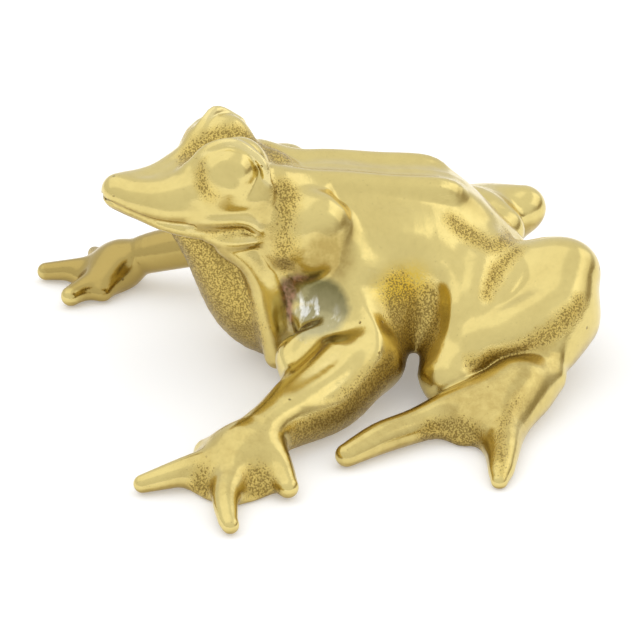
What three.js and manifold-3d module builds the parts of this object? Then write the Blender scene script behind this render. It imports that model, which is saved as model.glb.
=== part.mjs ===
// Frog paperweight: seven brass castings brazed together over hidden dowels, with a felt pad under the belly.
// Millimetres, +Z up. The table is z = 0, the frog faces -Y and its left side is +X.
import * as THREE from 'three';
import { LoftGeometry } from 'three/addons/geometries/LoftGeometry.js';
import { mergeVertices } from 'three/addons/utils/BufferGeometryUtils.js';
import Module from 'manifold-3d';

const wasm = await Module();
wasm.setup();

// Fits
const BRAZE_GAP = 0.3;
const DOWEL_DIAMETER = 3;
const DOWEL_LENGTH = 8;

// Felt pad, an oval glued under the belly
const PAD_WIDTH = 13;
const PAD_LENGTH = 24;
const PAD_THICKNESS = 1;
const BELLY_HEIGHT = PAD_THICKNESS + BRAZE_GAP;

// Torso: reach from the pad's middle forward to the chest and back to the rump, width at the flanks,
// height of the back, and distance between the two folds that run along it, their radius and their rise
const CHEST_REACH = 20;
const RUMP_REACH = 40;
const BODY_WIDTH = 34.4;
const BACK_HEIGHT = 42;
const FOLD_SPREAD = 13;
const FOLD_RADIUS = 1.9;
const FOLD_RISE = 1;
const FLANK = BODY_WIDTH / 2;
// Sections from chest to rump: share of the length, bottom and top as shares of the height, and half widths
// low down, at the waist and at the flank as shares of the greatest one
const TORSO = [
  { along: 0, bottom: 0.2, top: 0.88, low: 0.29, waist: 0.38, flank: 0.57 },
  { along: 0.05, bottom: 0.1, top: 0.95, low: 0.4, waist: 0.61, flank: 0.71 },
  { along: 0.13, bottom: 0.03, top: 1, low: 0.68, waist: 0.8, flank: 0.85 },
  { along: 0.23, bottom: 0, top: 0.97, low: 0.86, waist: 0.9, flank: 0.95 },
  { along: 0.33, bottom: 0, top: 0.95, low: 1.03, waist: 1.06, flank: 1.03 },
  { along: 0.47, bottom: 0, top: 0.91, low: 1.05, waist: 1.07, flank: 1.03 },
  { along: 0.6, bottom: 0, top: 0.87, low: 1, waist: 1.03, flank: 1 },
  { along: 0.7, bottom: 0.05, top: 0.82, low: 0.84, waist: 0.9, flank: 0.9 },
  { along: 0.78, bottom: 0.1, top: 0.74, low: 0.45, waist: 0.71, flank: 0.77 },
  { along: 0.87, bottom: 0.12, top: 0.65, low: 0.3, waist: 0.53, flank: 0.5 },
  { along: 0.93, bottom: 0.14, top: 0.55, low: 0.15, waist: 0.4, flank: 0.35 },
  { along: 1, bottom: 0.22, top: 0.42, low: 0.08, waist: 0.2, flank: 0.12 },
];

// Head: reach forward to the tip of the snout, length back to the neck, width across the lips,
// height of the lip line under the eyes and depth from there up to the crown
const SNOUT_REACH = 48;
const HEAD_LENGTH = 34.5;
const HEAD_WIDTH = 26.4;
const LIP_HEIGHT = 33;
const HEAD_DEPTH = 12;
// Sections from snout to neck: share of the length, half widths at the lip, the cheek and the crown as shares
// of the greatest one, and heights of the lower edge and the crown as shares of the depth above the lip line
const HEAD = [
  { along: 0, lip: 0.17, cheek: 0.14, crown: 0.1, low: 0.35, high: 0.68 },
  { along: 0.06, lip: 0.3, cheek: 0.28, crown: 0.2, low: 0.25, high: 0.8 },
  { along: 0.15, lip: 0.42, cheek: 0.38, crown: 0.28, low: 0.19, high: 0.85 },
  { along: 0.26, lip: 0.57, cheek: 0.46, crown: 0.36, low: 0.14, high: 0.88 },
  { along: 0.38, lip: 0.7, cheek: 0.55, crown: 0.41, low: 0.11, high: 0.93 },
  { along: 0.5, lip: 0.83, cheek: 0.66, crown: 0.46, low: 0.08, high: 1 },
  { along: 0.61, lip: 0.92, cheek: 0.9, crown: 0.53, low: 0.05, high: 1.03 },
  { along: 0.81, lip: 1, cheek: 0.98, crown: 0.58, low: -0.08, high: 1.03 },
  { along: 0.87, lip: 0.97, cheek: 0.95, crown: 0.55, low: -0.12, high: 0.98 },
  { along: 0.92, lip: 0.66, cheek: 0.6, crown: 0.4, low: -0.12, high: 0.9 },
  { along: 1, lip: 0.45, cheek: 0.4, crown: 0.3, low: -0.1, high: 0.75 },
];
// Eyes: distance behind the snout, half the distance between them, height and size
const EYE_SETBACK = 24.4;
const EYE_SPREAD = 8.3;
const EYE_HEIGHT = 43.6;
const EYE_DIAMETER = 10.2;
// Lid ridge over the left eye, from the eye's middle: x, y, z and radius
const LID = [
  [-4.6, -10, -1.2, 2.4],
  [-3.4, -5.6, 1.6, 2.3],
  [-0.7, -0.2, 5, 1.9],
  [0.9, 3.4, 4, 1.7],
  [1.9, 4.4, 0, 2],
  [2.3, 4.6, -3.6, 2],
];
// Mound behind the left eye, from the eye's middle, and its width, length and height
const MOUND_PLACE = [-2.1, 1, -0.6];
const MOUND_SIZE = [8.8, 12, 13.6];

// Lower jaw: how far it stands back from the lip, and its depth under it
const JAW_INSET = 0.6;
const JAW_DEPTH = 2.6;
// Throat: reach forward under the jaw, width across its edge ridges, height where it meets the jaw, thickness
const THROAT_REACH = 36.4;
const THROAT_WIDTH = 26.6;
const THROAT_HEIGHT = 32.5;
const THROAT_DEPTH = 6;
// Sections from jaw to belly: share of the way down, front and ridge as shares of the reach, half width
const THROAT = [
  { down: 0, front: 1, ridge: 0.68, half: 0.84 },
  { down: 0.16, front: 0.97, ridge: 0.69, half: 0.89 },
  { down: 0.3, front: 0.93, ridge: 0.61, half: 0.93 },
  { down: 0.46, front: 0.88, ridge: 0.55, half: 0.99 },
  { down: 0.62, front: 0.82, ridge: 0.51, half: 1 },
  { down: 0.78, front: 0.75, ridge: 0.47, half: 0.96 },
  { down: 0.91, front: 0.65, ridge: 0.44, half: 0.65 },
  { down: 1, front: 0.57, ridge: 0.4, half: 0.5 },
];

// Forelegs: the shoulder's place and size, then stations of x, y, z and radius down to the palm.
// Each x of a leg is counted outwards from the flank, for the right legs as for the left ones
const SHOULDER_PLACE = [-6.8, -8.6, 30.6];
const SHOULDER_SIZE = [14, 12.8, 16.8];
const LEFT_ARM = [[-3, -5.4, 28, 4], [0.4, -5.4, 22.5, 4.2], [4.3, -4.6, 18, 4.5], [8.8, -4.2, 13.4, 5.2]];
const LEFT_FOREARM = [[9.3, -3.6, 11, 6.5], [16.3, -13, 7, 6.6], [22.8, -23, 5.6, 5.6], [27.8, -31, 5, 5]];
const LEFT_PALM = [29.3, -33, 4.4];
const RIGHT_ARM = [[-3, -6.5, 28, 4], [0.6, -7, 22.5, 4.2], [4.8, -9, 16.5, 4.6], [7.8, -11, 12.5, 5.2]];
const RIGHT_FOREARM = [[7.8, -10.5, 12, 5.4], [12.8, -21, 9, 4.8], [16.3, -31, 7, 4.6], [19.3, -37, 5, 4]];
const RIGHT_PALM = [20.3, -39.5, 4];
// Fingers from the palm: turn outwards from straight ahead in degrees, length, and radius at the tip
const LEFT_FINGERS = [[5, 17.7, 1.8], [72, 21, 1.8], [120, 12.6, 2.1], [-51, 8.6, 2.4]];
const RIGHT_FINGERS = [[22, 15.7, 1.8], [-38, 14.6, 2.2], [83, 15.6, 1.8], [-63, 10, 1.7]];
const FINGER_ROOT_RADIUS = 3.2;
const FINGER_TIP_HEIGHT = 2;
// Webs between the fingers, flat rounds about the palms
const LEFT_WEB_DIAMETER = 19;
const RIGHT_WEB_DIAMETER = 14;
const HAND_WEB_HEIGHT = 3.6;

// Hind legs: how far the heel reaches back, then stations of x, y, z and radius
const HEEL_REACH = 41.2;
const THIGH_FRONT = [[-2.7, 26, 20.5, 4.8], [1.8, 20.5, 20, 5.2], [6.3, 18, 16, 5.5], [8.8, 16.5, 9, 5.8]];
const THIGH = [[-6.7, 38, 17, 6.7], [-1.7, 32, 18.4, 6.5], [3.3, 26, 16.6, 6.3], [7.8, 21, 13.5, 6]];
const SHANK = [[10.3, 19, 11.5, 6.4], [10.8, 26, 12.6, 6.8], [7.3, 34.5, 15, 7], [1.8, HEEL_REACH, 16, 7]];
const UNDERLEG = [[8, 33, 8, 6], [12, 26, 7.5, 7], [13, 18, 7.5, 7], [14.6, 13.5, 6, 5.6]];
// Foot from the heel to the outer toe's tip: its start, its length, its turn in degrees and its sideways bow,
// then distance along, height and radius
const FOOT_INSET = 2.2;
const FOOT_START = [5.8, HEEL_REACH - FOOT_INSET];
const FOOT_LENGTH = 50;
const FOOT_TURN = 57.6;
const FOOT_BOW = -3.4;
const FOOT = [[0, 10.5, 6.2], [12, 7, 5.2], [29, 4.6, 4.2], [42, 3, 2.9], [FOOT_LENGTH, 2, 1.9]];
// Inner toe the same way: it leaves the foot this far along it
const TOE_START = 18;
const TOE_LENGTH = 41;
const TOE_TURN = 16.2;
const TOE_BOW = -1.6;
const TOE = [[0, 5.8, 4.8], [15.6, 5.2, 4.8], [25, 4.3, 3.8], [33, 3.3, 3], [TOE_LENGTH, 2.2, 2.1]];
// Web between the toes: how far along the inner toe its middle lies and how far outwards, and its size
const FOOT_WEB_ALONG = 13;
const FOOT_WEB_OUT = 3;
const FOOT_WEB_DIAMETER = 17;
const FOOT_WEB_HEIGHT = 4.4;

// Places of the dowels: the middle of each one, on the face between its two castings
const NECK_DOWEL = [0, 1.5 - CHEST_REACH, 36.5];
const THROAT_DOWEL = [0, -0.5 - CHEST_REACH, 16];
const SHOULDER_DOWEL = [FLANK - 1.4, -6.2, 22.5];
const HIP_DOWEL = [FLANK - 4, 28, 17.5];

// Fineness of the round forms
const LIMB_POINTS = 12;
const BODY_POINTS = 28;
const SPAN_STEPS = 2;
const END_STEPS = 3;
const BALL_SEGMENTS = 18;

// Size of the block that flattens an underside
const FLAT_REACH = 400;
const FLAT_DEPTH = 20;

// Looks
const BRASS = { color: 0xd9b65c, roughness: 0.22, metalness: 1 };
const DOWEL_BRASS = { color: 0xb8913f, roughness: 0.4, metalness: 1 };
const FELT = { color: 0x3d2c20, roughness: 0.95, metalness: 0 };

const X_AXIS = new THREE.Vector3(1, 0, 0);
const Y_AXIS = new THREE.Vector3(0, 1, 0);
const Z_AXIS = new THREE.Vector3(0, 0, 1);
const { lerp, degToRad } = THREE.MathUtils;

const eyePlace = [EYE_SPREAD, EYE_SETBACK - SNOUT_REACH, EYE_HEIGHT];

function flipped(station) {
  return [-station[0], ...station.slice(1)];
}

function shifted(station, place) {
  return station.map((value, i) => value + (place[i] ?? 0));
}

// A closed solid from a geometry, swollen outwards by grow
function solid(geometry, grow = 0) {
  const bare = new THREE.BufferGeometry();
  bare.setAttribute('position', geometry.attributes.position);
  bare.setIndex(geometry.index);
  const merged = mergeVertices(bare, 1e-4);
  merged.computeVertexNormals();
  const { position, normal } = merged.attributes;
  const points = position.array.map((value, i) => value + grow * normal.array[i]);
  const triangles = Uint32Array.from(merged.index.array);
  return new wasm.Manifold(new wasm.Mesh({ numProp: 3, vertProperties: points, triVerts: triangles }));
}

function union(solids) {
  return solids.reduce((whole, next) => whole.add(next));
}

function cut(body, tools) {
  return tools.reduce((left, tool) => left.subtract(tool), body);
}

// A round limb through stations of x, y, z and radius, with half-round ends
function limb(stations, grow) {
  const curve = new THREE.CatmullRomCurve3(stations.map(([x, y, z]) => new THREE.Vector3(x, y, z)));
  const spans = stations.length - 1;
  const radiusAt = (t) => {
    const i = Math.min(Math.floor(t * spans), spans - 1);
    return lerp(stations[i][3], stations[i + 1][3], t * spans - i);
  };
  const ring = (t, shift, radius) => {
    const along = curve.getTangent(t);
    const side = new THREE.Vector3().crossVectors(Z_AXIS, along).normalize();
    const up = new THREE.Vector3().crossVectors(along, side);
    const centre = curve.getPoint(t).addScaledVector(along, shift);
    return Array.from({ length: LIMB_POINTS }, (_, i) => {
      const angle = (i / LIMB_POINTS) * 2 * Math.PI;
      const across = side.clone().multiplyScalar(radius * Math.cos(angle));
      return across.addScaledVector(up, radius * Math.sin(angle)).add(centre);
    });
  };
  const end = (t, step, way) => {
    const angle = (step / END_STEPS) * (Math.PI / 2);
    return ring(t, way * radiusAt(t) * Math.cos(angle), radiusAt(t) * Math.sin(angle));
  };
  const sections = [];
  for (let step = 1; step < END_STEPS; step += 1) {
    sections.push(end(0, step, -1));
  }
  for (let i = 0; i <= spans * SPAN_STEPS; i += 1) {
    const t = i / (spans * SPAN_STEPS);
    sections.push(ring(t, 0, radiusAt(t)));
  }
  for (let step = END_STEPS - 1; step > 0; step -= 1) {
    sections.push(end(1, step, 1));
  }
  return solid(new LoftGeometry(sections, { capStart: true, capEnd: true }), grow);
}

// Place on the table under a digit that leaves its root at a turn from straight ahead and bows sideways
function digitPlace([x, y], along, length, turn, bow) {
  const angle = degToRad(turn);
  const share = along / length;
  const aside = 4 * bow * share * (1 - share);
  return [
    x + along * Math.sin(angle) + aside * Math.cos(angle),
    y - along * Math.cos(angle) + aside * Math.sin(angle),
  ];
}

// A digit from rows of distance along, height and radius
function digit(root, length, turn, bow, rows) {
  return limb(rows.map(([along, height, radius]) => {
    return [...digitPlace(root, along, length, turn, bow), height, radius];
  }));
}

// A loft whose two sides match: outline gives a station's +X half, and place puts a point of it in space
function bodyLoft(stations, outline, place, grow) {
  const sections = stations.map((station) => {
    const half = outline(station);
    const inner = half.slice(1, -1);
    const ring = [half[0], ...inner.map(([x, v]) => [-x, v]), half[half.length - 1], ...inner.reverse()];
    const curve = new THREE.CatmullRomCurve3(ring.map(([x, v]) => place(x, v, station)), true);
    return curve.getSpacedPoints(BODY_POINTS).slice(0, -1);
  });
  return solid(new LoftGeometry(sections, { capStart: true, capEnd: true }), grow);
}

function ball([width, length, height], place, grow) {
  const sphere = new THREE.SphereGeometry(0.5, BALL_SEGMENTS, BALL_SEGMENTS / 2);
  return solid(sphere.rotateX(Math.PI / 2).scale(width, length, height).translate(...place), grow);
}

function torsoOutline({ bottom, top, low, waist, flank }) {
  const under = bottom * BACK_HEIGHT;
  const crest = top * BACK_HEIGHT - FOLD_RISE;
  return [
    [0, under],
    [FLANK * low * 0.7, under],
    [FLANK * low, lerp(under, crest, 0.13)],
    [FLANK * waist, lerp(under, crest, 0.38)],
    [FLANK * flank, lerp(under, crest, 0.68)],
    [(FOLD_SPREAD / 2) * flank, crest],
    [0, crest],
  ];
}

const torsoPlace = (along) => lerp(-CHEST_REACH, RUMP_REACH, along);
const torsoPoint = (x, z, { along }) => new THREE.Vector3(x, torsoPlace(along), z);

const headHeight = (share) => LIP_HEIGHT + HEAD_DEPTH * share;
const headPoint = (x, z, { along }) => new THREE.Vector3(x, HEAD_LENGTH * along - SNOUT_REACH, z);

function headOutline({ lip, cheek, crown, low, high }) {
  const half = HEAD_WIDTH / 2;
  const [under, crest] = [headHeight(low), headHeight(high)];
  return [
    [0, under],
    [half * lip * 0.9, under],
    [half * lip, lerp(under, crest, 0.18)],
    [half * cheek, lerp(under, crest, 0.5)],
    [half * crown, lerp(under, crest, 0.93)],
    [0, crest],
  ];
}

// The jaw lies under the lip all along it, so it takes its line from the head's sections
function jawOutline({ lip, low }) {
  const half = (HEAD_WIDTH / 2) * lip - JAW_INSET;
  const top = headHeight(low);
  const under = top - JAW_DEPTH;
  return [[0, under], [half * 0.85, under], [half, lerp(under, top, 0.5)], [half * 0.9, top], [0, top]];
}

const jawPoint = (x, z, station) => headPoint(x, z, station).add(new THREE.Vector3(0, JAW_INSET, 0));

function throatOutline({ front, ridge, half }) {
  const side = (THROAT_WIDTH / 2) * half;
  const [nose, edge] = [-THROAT_REACH * front, -THROAT_REACH * ridge];
  return [
    [0, nose],
    [side * 0.45, lerp(nose, edge, 0.2)],
    [side * 0.8, edge - 1.5],
    [side, edge],
    [side * 0.8, edge + THROAT_DEPTH],
    [0, edge + THROAT_DEPTH],
  ];
}

const throatPoint = (x, y, { down }) => new THREE.Vector3(x, y, lerp(THROAT_HEIGHT, BELLY_HEIGHT, down));

function dowelGeometry(place, axis, clearance = 0) {
  const radius = DOWEL_DIAMETER / 2 + clearance;
  const peg = new THREE.CylinderGeometry(radius, radius, DOWEL_LENGTH + 2 * clearance, BODY_POINTS);
  peg.applyQuaternion(new THREE.Quaternion().setFromUnitVectors(Y_AXIS, axis));
  return peg.translate(...place);
}

// Everything below a height, which flattens the soles and the belly
function below(height) {
  const block = new THREE.BoxGeometry(FLAT_REACH, FLAT_REACH, FLAT_DEPTH);
  return solid(block.translate(0, 0, height - FLAT_DEPTH / 2));
}

// The left fold keeps to the back's edge from behind the neck down to the rump
function makeTorso(grow) {
  const fold = TORSO.slice(2, -2).map(({ along, top, flank }) => {
    const height = top * BACK_HEIGHT - FOLD_RADIUS;
    return [(FOLD_SPREAD / 2) * flank, torsoPlace(along), height, FOLD_RADIUS];
  });
  const body = bodyLoft(TORSO, torsoOutline, torsoPoint, grow);
  return union([body, limb(fold, grow), limb(fold.map(flipped), grow)]);
}

function makeHead(grow) {
  const lid = LID.map((station) => shifted(station, eyePlace));
  const mound = shifted(MOUND_PLACE, eyePlace);
  const eyeSize = [EYE_DIAMETER, EYE_DIAMETER, EYE_DIAMETER];
  return union([
    bodyLoft(HEAD, headOutline, headPoint, grow),
    limb(lid, grow),
    limb(lid.map(flipped), grow),
    ball(MOUND_SIZE, mound, grow),
    ball(MOUND_SIZE, flipped(mound), grow),
    ball(eyeSize, eyePlace, grow),
    ball(eyeSize, flipped(eyePlace), grow),
  ]);
}

function makeThroat(grow) {
  const jaw = HEAD.filter(({ along }) => along < 0.9);
  const shield = bodyLoft(THROAT, throatOutline, throatPoint, grow);
  return bodyLoft(jaw, jawOutline, jawPoint, grow).add(shield);
}

function makeHand(palm, fingers, webDiameter) {
  const digits = fingers.map(([turn, length, tip]) => {
    return digit(palm, length, turn, 0, [[0, palm[2], FINGER_ROOT_RADIUS], [length, FINGER_TIP_HEIGHT, tip]]);
  });
  const web = ball([webDiameter, webDiameter, 2 * HAND_WEB_HEIGHT], [palm[0], palm[1], 0]);
  return union([...digits, web]);
}

function makeForeleg(arm, forearm, hand) {
  const leg = union([ball(SHOULDER_SIZE, SHOULDER_PLACE), limb(arm), limb(forearm), hand]);
  return cut(leg.translate([FLANK, 0, 0]), forelegRoom);
}

function makeHindLeg() {
  const limbs = [THIGH_FRONT, THIGH, SHANK, UNDERLEG].map((stations) => limb(stations));
  const foot = digit(FOOT_START, FOOT_LENGTH, FOOT_TURN, FOOT_BOW, FOOT);
  const root = digitPlace(FOOT_START, TOE_START, FOOT_LENGTH, FOOT_TURN, FOOT_BOW);
  const toe = digit(root, TOE_LENGTH, TOE_TURN, TOE_BOW, TOE);
  const [webX, webY] = digitPlace(root, FOOT_WEB_ALONG, TOE_LENGTH, TOE_TURN, FOOT_WEB_OUT);
  const web = ball([FOOT_WEB_DIAMETER, FOOT_WEB_DIAMETER, 2 * FOOT_WEB_HEIGHT], [webX, webY, 0]);
  return cut(union([...limbs, foot, toe, web]).translate([FLANK, 0, 0]), [torsoRoom, underTable]);
}

const dowels = [
  { name: 'neck_dowel', place: NECK_DOWEL, axis: Y_AXIS },
  { name: 'throat_dowel', place: THROAT_DOWEL, axis: Y_AXIS },
  { name: 'left_shoulder_dowel', place: SHOULDER_DOWEL, axis: X_AXIS },
  { name: 'right_shoulder_dowel', place: flipped(SHOULDER_DOWEL), axis: X_AXIS },
  { name: 'left_hip_dowel', place: HIP_DOWEL, axis: X_AXIS },
  { name: 'right_hip_dowel', place: flipped(HIP_DOWEL), axis: X_AXIS },
];
const sockets = dowels.map(({ place, axis }) => solid(dowelGeometry(place, axis, BRAZE_GAP)));

const underTable = below(0);
const underBelly = below(BELLY_HEIGHT);
const torsoRoom = makeTorso(BRAZE_GAP);
const headRoom = makeHead(BRAZE_GAP);
const forelegRoom = [torsoRoom, headRoom, makeThroat(BRAZE_GAP), underTable];
const leftHand = makeHand(LEFT_PALM, LEFT_FINGERS, LEFT_WEB_DIAMETER);
const rightHand = makeHand(RIGHT_PALM, RIGHT_FINGERS, RIGHT_WEB_DIAMETER);
const hindLeg = makeHindLeg();

const castings = {
  torso_casting: cut(makeTorso(), [underBelly]),
  head_casting: cut(makeHead(), [torsoRoom]),
  throat_casting: cut(makeThroat(), [torsoRoom, headRoom, underBelly]),
  left_foreleg: makeForeleg(LEFT_ARM, LEFT_FOREARM, leftHand),
  right_foreleg: makeForeleg(RIGHT_ARM, RIGHT_FOREARM, rightHand).mirror(X_AXIS.toArray()),
  left_hind_leg: hindLeg,
  right_hind_leg: hindLeg.mirror(X_AXIS.toArray()),
};

const frog = new THREE.Group();
frog.name = 'frog_paperweight';

function addPiece(name, geometry, look) {
  const piece = new THREE.Mesh(geometry, new THREE.MeshStandardMaterial(look));
  piece.name = name;
  frog.add(piece);
}

function geometryOf(body) {
  const mesh = body.getMesh();
  const geometry = new THREE.BufferGeometry();
  geometry.setAttribute('position', new THREE.BufferAttribute(mesh.vertProperties, 3));
  geometry.setIndex(new THREE.BufferAttribute(mesh.triVerts, 1));
  geometry.computeVertexNormals();
  return geometry;
}

for (const [name, body] of Object.entries(castings)) {
  addPiece(name, geometryOf(cut(body, sockets)), BRASS);
}
for (const { name, place, axis } of dowels) {
  addPiece(name, dowelGeometry(place, axis), DOWEL_BRASS);
}
const padOutline = new THREE.Shape();
padOutline.absellipse(0, 0, PAD_WIDTH / 2, PAD_LENGTH / 2, 0, 2 * Math.PI, false, 0);
const padDepth = { depth: PAD_THICKNESS, bevelEnabled: false, curveSegments: BODY_POINTS };
addPiece('belly_pad', new THREE.ExtrudeGeometry(padOutline, padDepth), FELT);

export default frog;
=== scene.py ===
import math
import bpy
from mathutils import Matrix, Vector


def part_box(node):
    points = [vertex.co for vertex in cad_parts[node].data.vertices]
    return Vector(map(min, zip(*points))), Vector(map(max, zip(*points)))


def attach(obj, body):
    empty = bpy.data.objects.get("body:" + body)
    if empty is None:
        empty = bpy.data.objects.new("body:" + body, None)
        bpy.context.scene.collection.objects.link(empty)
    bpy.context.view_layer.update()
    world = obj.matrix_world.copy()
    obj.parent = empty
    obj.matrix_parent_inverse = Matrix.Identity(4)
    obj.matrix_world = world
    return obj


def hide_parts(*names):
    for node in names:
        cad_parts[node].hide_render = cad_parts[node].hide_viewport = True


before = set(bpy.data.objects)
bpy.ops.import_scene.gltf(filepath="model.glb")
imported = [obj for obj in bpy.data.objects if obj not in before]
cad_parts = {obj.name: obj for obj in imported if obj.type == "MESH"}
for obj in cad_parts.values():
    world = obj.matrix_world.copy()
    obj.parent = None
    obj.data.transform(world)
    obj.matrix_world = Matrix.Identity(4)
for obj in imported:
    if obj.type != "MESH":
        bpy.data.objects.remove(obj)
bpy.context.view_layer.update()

from concurrent.futures import ThreadPoolExecutor

import bmesh
import bpy
import numpy as np
from mathutils import Matrix, Vector

# Frog paperweight in cast brass. The sculpt is worked out in millimetres in the part's own frame:
# the table is z = 0, the frog faces -Y and its left side is +X.
MM = 0.001

# Camera: the view's angles, the picture's size and focal length in pixels, the pixels to a millimetre at the
# aim, the aim and the pixel that shows it, the sensor's width in millimetres, and the clipping distances
AZIMUTH, ELEVATION = 75.0, 27.0
PICTURE = 640
FOCAL = 2500.0
SCALE = 5.0
AIM = (0.0, -36.0, 0.0)
AIM_PIXEL = (172.0, 363.0)
SENSOR = 36
CLIP = (0.01, 20)

# Fineness of the sculpt: the grid's step, the room around the frog, the distance given to points beyond a
# limb's margin, and how many points are worked out at once, in how many threads
GRID = 0.8
ROOM_LOW = (-70.0, -60.0, -1.6)
ROOM_HIGH = (71.0, 52.0, 53.0)
FAR = 30.0
MARGIN = 12.0
CHUNK = 6000
THREADS = 4


def smin(a, b, k):
    """The lower of two distances, rounded over the width k."""
    h = np.maximum(k - np.abs(a - b), 0.0) / k
    return np.minimum(a, b) - h * h * k * 0.25


def smax(a, b, k):
    """The greater of two distances, rounded over the width k."""
    return -smin(-a, -b, k)


def ramp(v, a, b):
    """0 up to a, 1 from b on, and a smooth rise between."""
    t = np.clip((v - a) / (b - a), 0, 1)
    return t * t * (3 - 2 * t)


def spline(points, steps):
    """Rows along a smooth curve through the given ones."""
    p = np.asarray(points, float)
    if len(p) == 2:
        return p
    q = np.vstack([2 * p[0] - p[1], p, 2 * p[-1] - p[-2]])
    out = []
    for i in range(len(p) - 1):
        a, b, c, d = q[i:i + 4]
        for t in np.arange(steps) / steps:
            out.append(b + 0.5 * t * (c - a + t * (2 * a - 5 * b + 4 * c - d + t * (3 * b - a - 3 * c + d))))
    return np.array(out + [p[-1]])


def tube(points, steps=5):
    """Distance to a limb through rows of x, y, z and radius, as balls joined by the cones that touch them."""
    s = spline(points, steps)
    a, ra, rb = s[:-1, :3], s[:-1, 3], s[1:, 3]
    along = s[1:, :3] - a
    length2 = (along**2).sum(1)
    drop = ra - rb
    slope2 = np.maximum(length2 - drop * drop, 1e-9)
    low = (s[:, :3] - s[:, 3:]).min(0) - MARGIN
    high = (s[:, :3] + s[:, 3:]).max(0) + MARGIN

    def distance(P):
        out = np.full(len(P), FAR)
        near = np.nonzero(((P > low) & (P < high)).all(1))[0]
        if not len(near):
            return out
        Q = P[near]
        y = Q @ along.T - (a * along).sum(1)
        w2 = np.maximum((Q * Q).sum(1)[:, None] - 2 * Q @ a.T + (a * a).sum(1), 0)
        x2 = length2 * np.maximum(w2 * length2 - y * y, 0)
        z = y - length2
        y2, z2 = y * y * length2, z * z * length2
        k = np.sign(drop) * drop * drop * x2
        d = (np.sqrt(x2 * slope2 / length2) + y * drop) / length2 - ra
        d = np.where(np.sign(y) * slope2 * y2 < k, np.sqrt(x2 + y2) / length2 - ra, d)
        d = np.where(np.sign(z) * slope2 * z2 > k, np.sqrt(x2 + z2) / length2 - rb, d)
        out[near] = d.min(1)
        return out
    return distance


def ball(centre, radii):
    """Distance to an ellipsoid, close enough near its surface."""
    c, r = np.asarray(centre, float), np.asarray(radii, float)

    def distance(P):
        d = (P - c) / r
        k0 = np.sqrt((d * d).sum(1))
        k1 = np.sqrt(((d / r) ** 2).sum(1))
        return k0 * (k0 - 1) / np.maximum(k1, 1e-9)
    return distance


def hollowed(form, cut, width):
    """A form with another one scooped out of it."""
    return lambda P: smax(form(P), -cut(P), width)


def blended(first, *others):
    """The first form with others melted into it, each over its width: a number, or a function of place."""
    def distance(P):
        d = first(P)
        for form, width in others:
            d = smin(d, form(P), width(P) if callable(width) else width)
        return d
    return distance


def flip(points):
    """The same rows on the frog's right side."""
    return [(-row[0], *row[1:]) for row in points]


def pair(points, width):
    """A limb on each side, and the width over which both melt in."""
    return [(tube(points), width), (tube(flip(points)), width)]


def mirrored(form):
    """A form moved to the frog's other side."""
    return lambda P: form(P * np.array([-1.0, 1.0, 1.0]))


# A limb is rows of x, y, z and radius, a ball is a centre and three radii, and the number beside a form is
# the width over which it melts into those before it.

# Torso: chest, belly, spine, flanks, lower flanks, sides of the neck, and the two folds along the back
CHEST = ((0, -6.5, 17), (14.5, 15, 17))
BELLY = ((0, 8, 13.5), (15, 25, 13.5))
BACK = [(0, -14, 32, 8), (0, -4, 31.2, 8), (0, 6, 29.3, 8), (0, 18, 27.4, 8), (0, 23.8, 21.4, 7.6),
        (0, 30, 15, 7.2), (0, 35, 11, 6)]
SIDE = [(6.2, -15, 30, 6), (7.4, -7, 28.5, 7.2), (9.4, 2, 27, 7.8), (9.2, 12, 24.5, 8), (7, 22, 21, 8)]
FLANK = [(9.5, -8, 18, 7.2), (10.8, 3, 17, 7.7), (11, 12, 16, 7.7), (9.6, 22, 15, 7.4)]
SKIRT = [(10.5, -6, 10, 6.8), (13.4, 4, 11.5, 7), (13.8, 11, 11.5, 7), (11.4, 20, 10, 6.8)]
NECK = [(7, -16, 38, 4.4), (8.8, -15.2, 32, 5), (9, -14.2, 26, 5)]
FOLD = [(6.6, -18, 41.4, 1.5), (5.8, -13.5, 39.7, 1.5), (5.6, -8, 38.9, 1.5), (6, -2, 38.2, 1.6),
        (6.2, 8, 36.3, 1.8), (6.2, 18.4, 34.4, 1.9), (5.4, 22, 30.8, 1.7), (4.8, 26.5, 24.9, 1.7),
        (4, 33, 18.6, 1.8)]
BELLY_HEIGHT = 1.3
BELLY_ROUNDING = 2
trunk = blended(ball(*CHEST), (ball(*BELLY), 8), (tube(BACK), 10), *pair(SIDE, 5), *pair(FLANK, 7),
                *pair(SKIRT, 6), *pair(NECK, 6), *pair(FOLD, 4))


def torso(P):
    return smax(trunk(P), BELLY_HEIGHT - P[:, 2], BELLY_ROUNDING)


# Head, with the same forms on each side apart from the eyelids. The eye's facet has a normal and a distance
# from the eye's centre.
CORE = [(0, -45, 38.9, 2.3), (0, -38, 37.4, 4), (0, -28, 39, 5.8), (0, -18, 38, 6.6), (0, -13, 35, 6)]
LIP = [(1.2, -45.6, 38.6, 1.7), (5.2, -39.5, 36.4, 1.9), (8.8, -30.5, 36.2, 2), (10.6, -21, 36.4, 2.2)]
HEAD_SIDE = [(8, -26, 39, 3.2), (9.4, -20, 39, 3)]
LOREAL = [(2.2, -42.5, 38, 2.6), (4.4, -36, 37.9, 3.4), (6.4, -30, 39.4, 4.2), (7.2, -26, 40, 4.4)]
CANTHUS = [(1.6, -43.5, 37.9, 1), (3.4, -37, 38.6, 1.1), (4.2, -32, 41.5, 1.2)]
CHEEK = [(10.4, -18.8, 40, 1.4), (11.2, -19.2, 35, 1.6), (11.4, -19.4, 31, 1.4)]
LID = [(4.2, -31.6, 43.4, 1.2), (5.2, -29, 47.2, 1.2), (7.2, -24.8, 49.2, 1.2), (9, -21, 47.3, 1),
       (10.6, -19, 44.8, 0.9), (11.3, -18.7, 39.6, 0.9)]
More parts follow.
